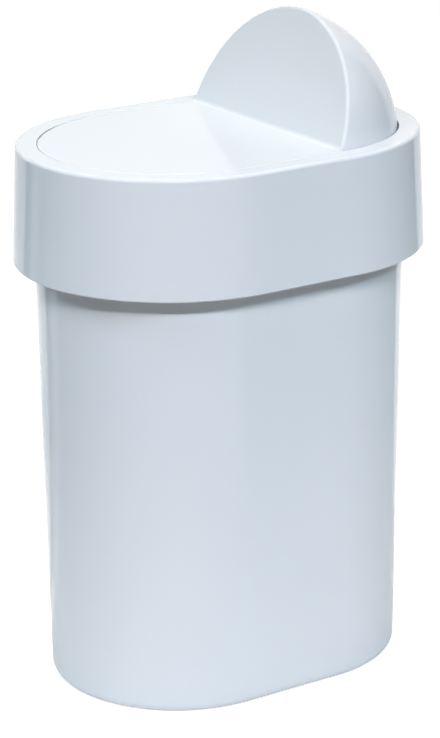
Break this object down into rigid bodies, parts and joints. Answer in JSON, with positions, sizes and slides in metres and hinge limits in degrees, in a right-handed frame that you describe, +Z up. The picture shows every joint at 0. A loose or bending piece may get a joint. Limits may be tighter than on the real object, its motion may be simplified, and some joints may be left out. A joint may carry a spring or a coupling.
{
  "type": "trash can",
  "caption": "Small stadium-plan swing-lid bin: tapered bucket, deep lift-off collar and a flush weighted lid panel with a leaning half disc and dome that turn down to open.",
  "frame": {"origin": "on the floor under the middle of the bin, at the centre of its bounding box's bottom face", "axes": "+Z up, +X along the long side of the plan towards the lid's dome, +Y across the short side along the lid's pivot axis"},
  "size_m": [0.2084, 0.1552, 0.3235],
  "materials": {
    "gloss_shell": "glossy moulded plastic in a cool bluish white",
    "satin_liner": "satin moulded plastic in the same white",
    "steel": "plain bright steel"
  },
  "bodies": {
    "bucket": {"bin_body": "gloss_shell"},
    "lid_frame": {"collar": "gloss_shell"},
    "swing_lid": {"lid_shell": "gloss_shell", "lid_liner": "satin_liner", "lid_weight": "steel", "pivot_pin_front": "steel", "pivot_pin_back": "steel"}
  },
  "joints": [
    {"name": "collar_lift", "type": "slide", "parent": "bucket", "child": "lid_frame", "axis": [0, 0, 1], "range_m": [0, 0.06]},
    {"name": "lid_swing", "type": "hinge", "parent": "lid_frame", "child": "swing_lid", "pos_m": [0.0266, 0, 0.263], "axis": [0, 1, 0], "range_deg": [0, 69.8]}
  ]
}
